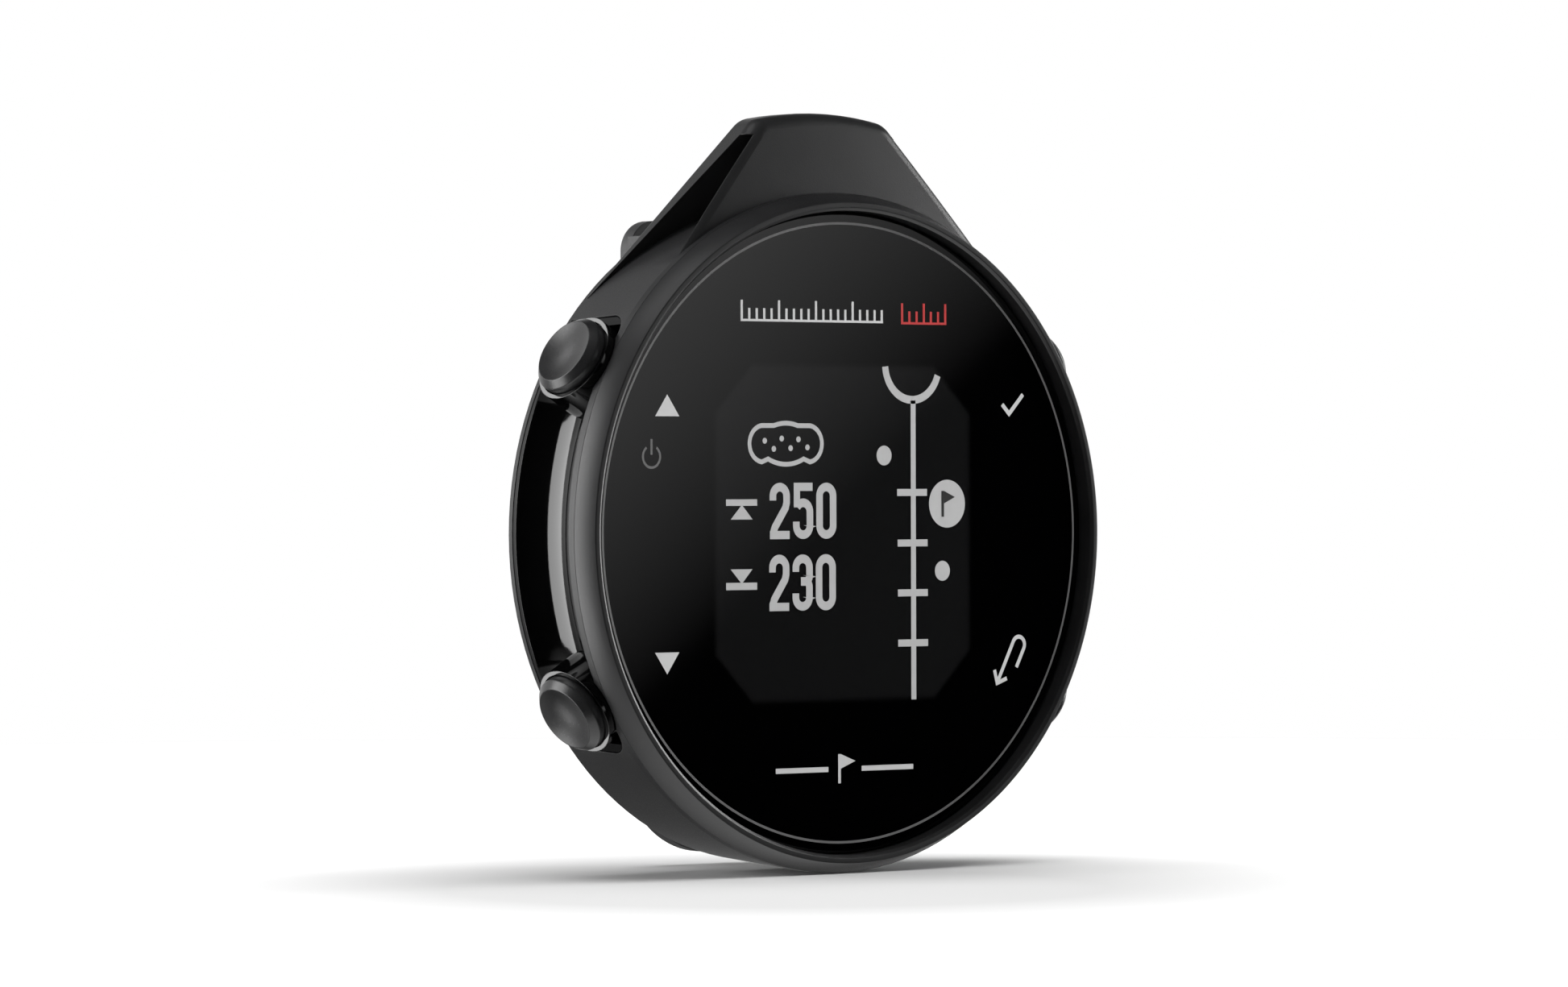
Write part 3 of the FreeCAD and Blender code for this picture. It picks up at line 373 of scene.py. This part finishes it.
def digit(mark, figure, left, low, wide, tall, line):
    """One condensed numeral: half-round ends joined by straight sides."""
    bend = (wide - line) / 2
    middle = left + wide / 2
    right = left + wide - line / 2
    edge = left + line / 2
    top = low + tall - line / 2 - bend
    foot = low + line / 2 + bend
    if figure == "0":
        mark.stroke(arc(middle, top, bend, 0, 180) + arc(middle, foot, bend, 180, 360), line, True)
    if figure == "2":
        mark.stroke([(edge, top - 0.3)] + arc(middle, top, bend, 180, 0)
                    + [(right, top - 0.45), (right - 0.1, top - 0.8), (edge + 0.17, foot - 0.1),
                       (edge + 0.02, low + line * 0.7)], line)
        mark.bar(left + 0.02, low, left + wide - 0.03, low + line * 0.95)
    if figure == "3":
        waist = low + tall * 0.52
        small = bend * 0.62
        mark.stroke([(edge, top - 0.28)] + arc(middle, top, bend, 180, 0)
                    + [(right, waist + small)] + arc(right - small, waist + small, small, 0, -90, 8)
                    + [(middle - 0.15, waist)], line)
        mark.stroke([(middle - 0.15, waist)] + arc(right - small, waist - small, small, 90, 0, 8)
                    + [(right, foot)] + arc(middle, foot, bend, 0, -180) + [(edge, foot + 0.28)], line)
    if figure == "5":
        waist = low + tall * 0.62
        mark.bar(left + 0.06, low + tall - line * 0.95, left + wide - 0.06, low + tall)
        mark.bar(left + 0.06, waist - 0.22, left + 0.06 + line * 0.95, low + tall - 0.1)
        mark.stroke(arc(middle, waist - bend * 0.85, bend, 150, 0, 12)
                    + [(right, foot)] + arc(middle, foot, bend, 0, -180) + [(edge, foot + 0.28)], line)


DIGIT_PITCH, DIGIT_WIDE, DIGIT_TALL, DIGIT_LINE = 2.08, 1.8, 3.83, 0.585


def number(mark, text, left, low):
    for index, figure in enumerate(text):
        digit(mark, figure, left + index * DIGIT_PITCH, low, DIGIT_WIDE, DIGIT_TALL, DIGIT_LINE)


def distance_marks(mark):
    """Two distances, each beside a wedge on a line: to the far and to the near edge."""
    number(mark, "250", -6.68, -0.39)
    number(mark, "230", -6.74, -5.28)
    mark.bar(-10.53, 1.89, -7.79, 2.33)
    mark.polygon([(-10.12, 0.96), (-8.2, 0.96), (-9.14, 1.96)])
    mark.bar(-10.54, -3.81, -7.81, -3.32)
    mark.polygon([(-10.13, -2.41), (-9.15, -3.4), (-8.21, -2.41)])


def bunker_sign(mark):
    """A sand hollow: a shallow dish with grains over it."""
    outline = arc(-7.2, 6.1, 1.25, 100, 262, 14) + arc(-5.22, 8.3, 3.6, 244, 296, 14)
    outline += arc(-3.25, 6.1, 1.25, -82, 80, 14) + arc(-5.22, 4.1, 3.4, 72, 108, 14)
    mark.stroke(outline, 0.32, True)
    for x, z in ((-7.1, 6.3), (-6.3, 5.75), (-5.6, 6.45), (-4.8, 5.8), (-4.1, 6.4), (-3.3, 5.85)):
        mark.disc(x, z, 0.2, 20)


def hole_map(mark):
    """The hole as a line with cross ticks, a green at its head, two spots and a round sign."""
    mark.bar(6.05, -11.55, 6.5, 9.1)
    for low, left in ((2.51, 4.79), (-0.98, 4.84), (-4.42, 4.85), (-7.88, 4.86)):
        mark.bar(left, low, left + 2.74, low + 0.48)
    mark.stroke(arc(6.19, 11.6, 2.46, 184, 342, 40), 0.55)
    mark.disc(3.61, 5.3, 0.68)
    mark.disc(8.94, -2.69, 0.69)
    mark.polygon(arc(9.38, 1.96, 1.66, 0, 360, 56)[:-1])


def ball_sign(mark):
    """A small pennant on its pole, on the round sign."""
    mark.bar(8.86, 1.05, 9.1, 2.85)
    mark.polygon([(9.1, 2.85), (10.1, 2.42), (9.1, 1.98)])


def scale_row(light, red):
    """A ruler in two lengths, the second one red, with a taller tick every few."""
    spacing, line, overlap = 0.66, 0.2, 0.01
    for mark, start, low, count, every in ((light, -9.2, 14.4, 20, 5), (red, 5.2, 14.35, 7, 3)):
        foot = low + 0.15
        for index in range(count):
            left = start + index * spacing
            mark.bar(left, foot, left + line, foot + (0.75 if index % every else 1.3))
        mark.bar(start, low, start + (count - 1) * spacing + line, foot + overlap)


def flag_sign(mark):
    """A pennant between two plain bars, low on the lens."""
    mark.bar(-6.2, -16.35, -1.5, -16.0)
    mark.bar(1.5, -16.35, 6.2, -16.0)
    mark.bar(-0.62, -17.15, -0.38, -15.15)
    mark.polygon([(-0.38, -15.15), (0.95, -15.65), (-0.38, -16.15)])


def side_signs(mark):
    """A sign for each button: up, down, a check mark and a return arrow."""
    mark.polygon([(-16.68, 7.93), (-14.58, 7.93), (-15.63, 9.4)])
    mark.polygon([(-16.74, -7.93), (-15.69, -9.4), (-14.64, -7.93)])
    mark.stroke([(14.53, 8.87), (15.18, 8.22), (16.48, 9.57)], 0.3)
    turn = Matrix.Rotation(math.radians(62), 2)
    head = [(-1.5, 0.9), (-2.2, 0.25), (-1.5, -0.4)]
    tail = [(-2.1, 0.25)] + arc(1.1, -0.3, 0.55, 90, -90, 12) + [(-0.4, -0.85)]
    for path in (head, tail):
        spots = [turn @ Vector(point) for point in path]
        mark.stroke([(15.25 + spot.x, spot.y - 8.75) for spot in spots], 0.28)


def power_sign(mark):
    mark.stroke(arc(-17.0, 5.22, 0.74, 125, 415, 40), 0.17)
    mark.bar(-17.09, 5.35, -16.91, 6.4)


def make_prints():
    bright = ink("print_light_grey", (0.62, 0.62, 0.62))
    screen = ink("display_light_grey", (0.5, 0.5, 0.5))
    red = ink("print_red", (0.55, 0.02, 0.02))
    dim = ink("print_dim_grey", (0.14, 0.14, 0.14))
    dark = ink("print_black", (0.004, 0.004, 0.004))
    ring = ink("print_ring_grey", (0.15, 0.15, 0.15))
    ring_radius, ring_line = 21.2, 0.17
    marks = Print()
    distance_marks(marks)
    bunker_sign(marks)
    hole_map(marks)
    marks.finish("display_marks", screen)
    marks = Print(PENNANT_LIFT)
    ball_sign(marks)
    marks.finish("display_pennant", dark)
    marks, accents = Print(), Print()
    scale_row(marks, accents)
    flag_sign(marks)
    side_signs(marks)
    marks.finish("lens_marks", bright)
    accents.finish("lens_marks_red", red)
    marks = Print()
    power_sign(marks)
    marks.finish("lens_power_sign", dim)
    marks = Print()
    marks.stroke(arc(0, 0, ring_radius, 0, 360, 256)[:-1], ring_line, True)
    marks.finish("lens_ring", ring)


# ---------------------------------------------------------------- turned pieces

# Radius and depth of each corner of the bezel, and how far each inner one is rounded.
BEZEL = [(22.04, 0.42), (22.04, -0.87), (22.25, -1.04), (22.61, -1.04), (23.28, 0.40), (23.28, 0.42)]
BEZEL_ROUNDS = [0.05, 0.06, 0.06, 0.0]
# The buttons: the angle of their axes above the level, and how far they stand behind the lens.
BUTTON_ANGLE, BUTTON_DEPTH = 29.8, 3.7
# A cap's radii, and its heights from the case axis, from the dish's rim to the stem's end.
DISH_RIM, DISH_SAG, DISH_STEPS, DISH_EDGE = 2.3, 0.3, 12, 0.1
CAP_RADIUS, CAP_TOP, CAP_EDGE, CAP_BASE = 2.76, 24.82, 24.36, 22.95
STEM_RADIUS, STEM_END = 1.0, 18.65
CAP_ROUNDS = [0.05, 0.1, 0.03, 0.05, 0.05]


def make_bezel(material):
    piece = lathe("bezel_turned", fillet(BEZEL, BEZEL_ROUNDS), AXIS, (0, 1, 0), material, "case",
                  320)
    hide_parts("bezel_ring")


def make_caps(material):
    """The button caps, with soft edges and a dished face."""
    ball = (DISH_RIM ** 2 + DISH_SAG ** 2) / (2 * DISH_SAG)
    dish = [(0.0, CAP_TOP - DISH_SAG)]
    for index in range(1, DISH_STEPS + 1):
        radius = (DISH_RIM - DISH_EDGE) * index / DISH_STEPS
        dish.append((radius, CAP_TOP - DISH_SAG + ball - math.sqrt(ball ** 2 - radius ** 2)))
    rest = [(DISH_RIM, CAP_TOP), (CAP_RADIUS, CAP_EDGE), (CAP_RADIUS, CAP_BASE),
            (STEM_RADIUS, CAP_BASE), (STEM_RADIUS, STEM_END), (0.0, STEM_END)]
    profile = dish + fillet([dish[-1]] + rest, CAP_ROUNDS, 5)[1:]
    angle = math.radians(BUTTON_ANGLE)
    for name, side, level in (("up", -1, 1), ("down", -1, -1), ("ok", 1, 1), ("back", 1, -1)):
        axis = Vector((side * math.cos(angle), 0, level * math.sin(angle)))
        piece = lathe(f"cap_{name}", profile, at(0, BUTTON_DEPTH, 0), axis, material,
                      f"{name}_button", 128)
        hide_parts(f"button_{name}")


# ---------------------------------------------------------------- light and floor

# The floor's tone near its middle, darker there as a painted shadow around where the object stands,
# and away from it, where the middle is, and the reach of the change.
FLOOR_PAINTED_SHADOW, FLOOR_FAR = (0.58, 0.58, 0.58), (0.95, 0.95, 0.95)
FLOOR_SHADOW_MIDDLE = (-0.015, -0.018, 0.0)
FLOOR_SHADOW_FADE_START, FLOOR_SHADOW_FADE_END = 0.022, 0.052


def area_light(name, away, distance, wide, tall, power):
    """An area light that faces the middle of the lens and that the camera can't see."""
    data = bpy.data.lights.new(name, "AREA")
    data.shape = "RECTANGLE"
    data.size = wide
    data.size_y = tall
    data.energy = power
    lamp = bpy.data.objects.new(name, data)
    lamp.matrix_world = (Matrix.Translation(AXIS + away * distance)
                         @ (-away).to_track_quat("-Z", "Y").to_matrix().to_4x4())
    lamp.visible_camera = False
    bpy.context.scene.collection.objects.link(lamp)
    return lamp


def gradient_panel():
    """A soft panel that the flat lens mirrors, brighter towards its upper left."""
    data = area_light("lens_panel", Vector((0.644, -0.765, 0.0)), 0.49, 0.17, 0.17, 0.1).data
    data.use_nodes = True
    tree = data.node_tree
    place = add(tree, "ShaderNodeNewGeometry")
    parts = add(tree, "ShaderNodeSeparateXYZ")
    link(tree, place, "Parametric", parts, "Vector")
    slope = add(tree, "ShaderNodeMath", operation="SUBTRACT")
    link(tree, parts, "Y", slope, 0)
    link(tree, parts, "X", slope, 1)
    ramp = spread(tree, slope, 0.0, 1.0, -0.024, 0.38, output=0)
    link(tree, ramp, "Result", tree.nodes["Emission"], "Strength")


def softbox(name, azimuth, elevation, wide, tall, power, distance=0.6):
    """A plain area light. Azimuth 0 is in front of the lens, 90 on its right."""
    turn, rise = math.radians(azimuth), math.radians(elevation)
    away = Vector((math.sin(turn) * math.cos(rise), -math.cos(turn) * math.cos(rise), math.sin(rise)))
    return area_light(name, away, distance, wide, tall, power)


def make_world():
    """White to the camera; as a light, white behind the object, bright below it, dark elsewhere."""
    world = bpy.data.worlds.new("studio")
    world.use_nodes = True
    tree = world.node_tree
    background = tree.nodes["Background"]
    coords = add(tree, "ShaderNodeTexCoord")
    parts = add(tree, "ShaderNodeSeparateXYZ")
    link(tree, coords, "Generated", parts, "Vector")
    behind = combined(tree, "MULTIPLY", spread(tree, parts, 0.0, 1.0, 0.25, 0.75, output="Y"),
                      spread(tree, parts, 1.0, 0.0, 0.3, 0.65, output="Z"))
    behind = combined(tree, "MULTIPLY", behind, spread(tree, parts, 0.0, 1.0, -0.6, 0.05, output="Z"))
    below = combined(tree, "MULTIPLY", spread(tree, parts, 1.7, 0.2, 0.2, 0.7, output="Y"),
                     spread(tree, parts, 1.0, 0.0, -0.85, -0.55, output="Z"))
    path = add(tree, "ShaderNodeLightPath")
    seen = combined(tree, "MAXIMUM", combined(tree, "ADD", behind, below), path, "Is Camera Ray")
    link(tree, seen, "Value", background, "Strength")
    background.inputs["Color"].default_value = (1, 1, 1, 1)
    bpy.context.scene.world = world


def make_floor():
    """A pale round floor, small enough to melt into the white behind it, with a painted shadow: darker
    near the object.
    """
    radius, count = 0.25, 96
    turns = [2 * math.pi * index / count for index in range(count)]
    mesh = bpy.data.meshes.new("floor")
    mesh.from_pydata([(radius * math.cos(turn), radius * math.sin(turn), 0) for turn in turns], [],
                     [tuple(range(count))])
    floor = bpy.data.objects.new("floor", mesh)
    material, tree, shader = new_material("pale_floor_painted_shadow")
    coords = add(tree, "ShaderNodeTexCoord")
    reach = add(tree, "ShaderNodeVectorMath", operation="DISTANCE")
    link(tree, coords, "Object", reach, 0)
    reach.inputs[1].default_value = FLOOR_SHADOW_MIDDLE
    rise = spread(tree, reach, 0.0, 1.0, FLOOR_SHADOW_FADE_START, FLOOR_SHADOW_FADE_END, output="Value")
    # Painted shadow: the floor's colour is darker near the object and pale further out.
    painted_shadow_tone = blended(tree, rise, "Result", FLOOR_PAINTED_SHADOW, FLOOR_FAR)
    tree.links.new(painted_shadow_tone.outputs["Result"], shader.inputs["Base Color"])
    shader.inputs["Roughness"].default_value = 1.0
    shader.inputs["Specular IOR Level"].default_value = 0.0
    mesh.materials.append(material)
    bpy.context.scene.collection.objects.link(floor)
    floor.visible_glossy = False


def make_studio():
    make_world()
    make_floor()
    gradient_panel()
    softbox("top_box", 0, 80, 0.9, 0.9, 9, distance=0.8).visible_glossy = False
    softbox("rear_left_strip", -121, 0, 0.4, 0.78, 5.9)
    softbox("rear_high_box", -157, 34, 0.09, 0.09, 0.12)
    softbox("rear_low_box", -157, -34, 0.09, 0.09, 0.12)
    softbox("high_left_box", -117, 70, 0.3, 0.3, 0.45)
    softbox("right_box", 76, 8, 0.2, 0.35, 2.6)


# ---------------------------------------------------------------- build

def paint_nodes(materials):
    for part in frame["record"]["subparts"]:
        node = NODES[part["node"]]
        if not node.material_slots:
            node.data.materials.append(None)
        for spot in node.material_slots:
            spot.link = "OBJECT"
            spot.material = materials[part["material_slot"]]


def main():
    scene = bpy.context.scene
    scene.view_settings.view_transform = "Standard"
    aim_camera()
    materials = make_materials()
    paint_nodes(materials)
    make_prints()
    make_bezel(materials["bezel"])
    make_caps(materials["button"])
    make_studio()


main()
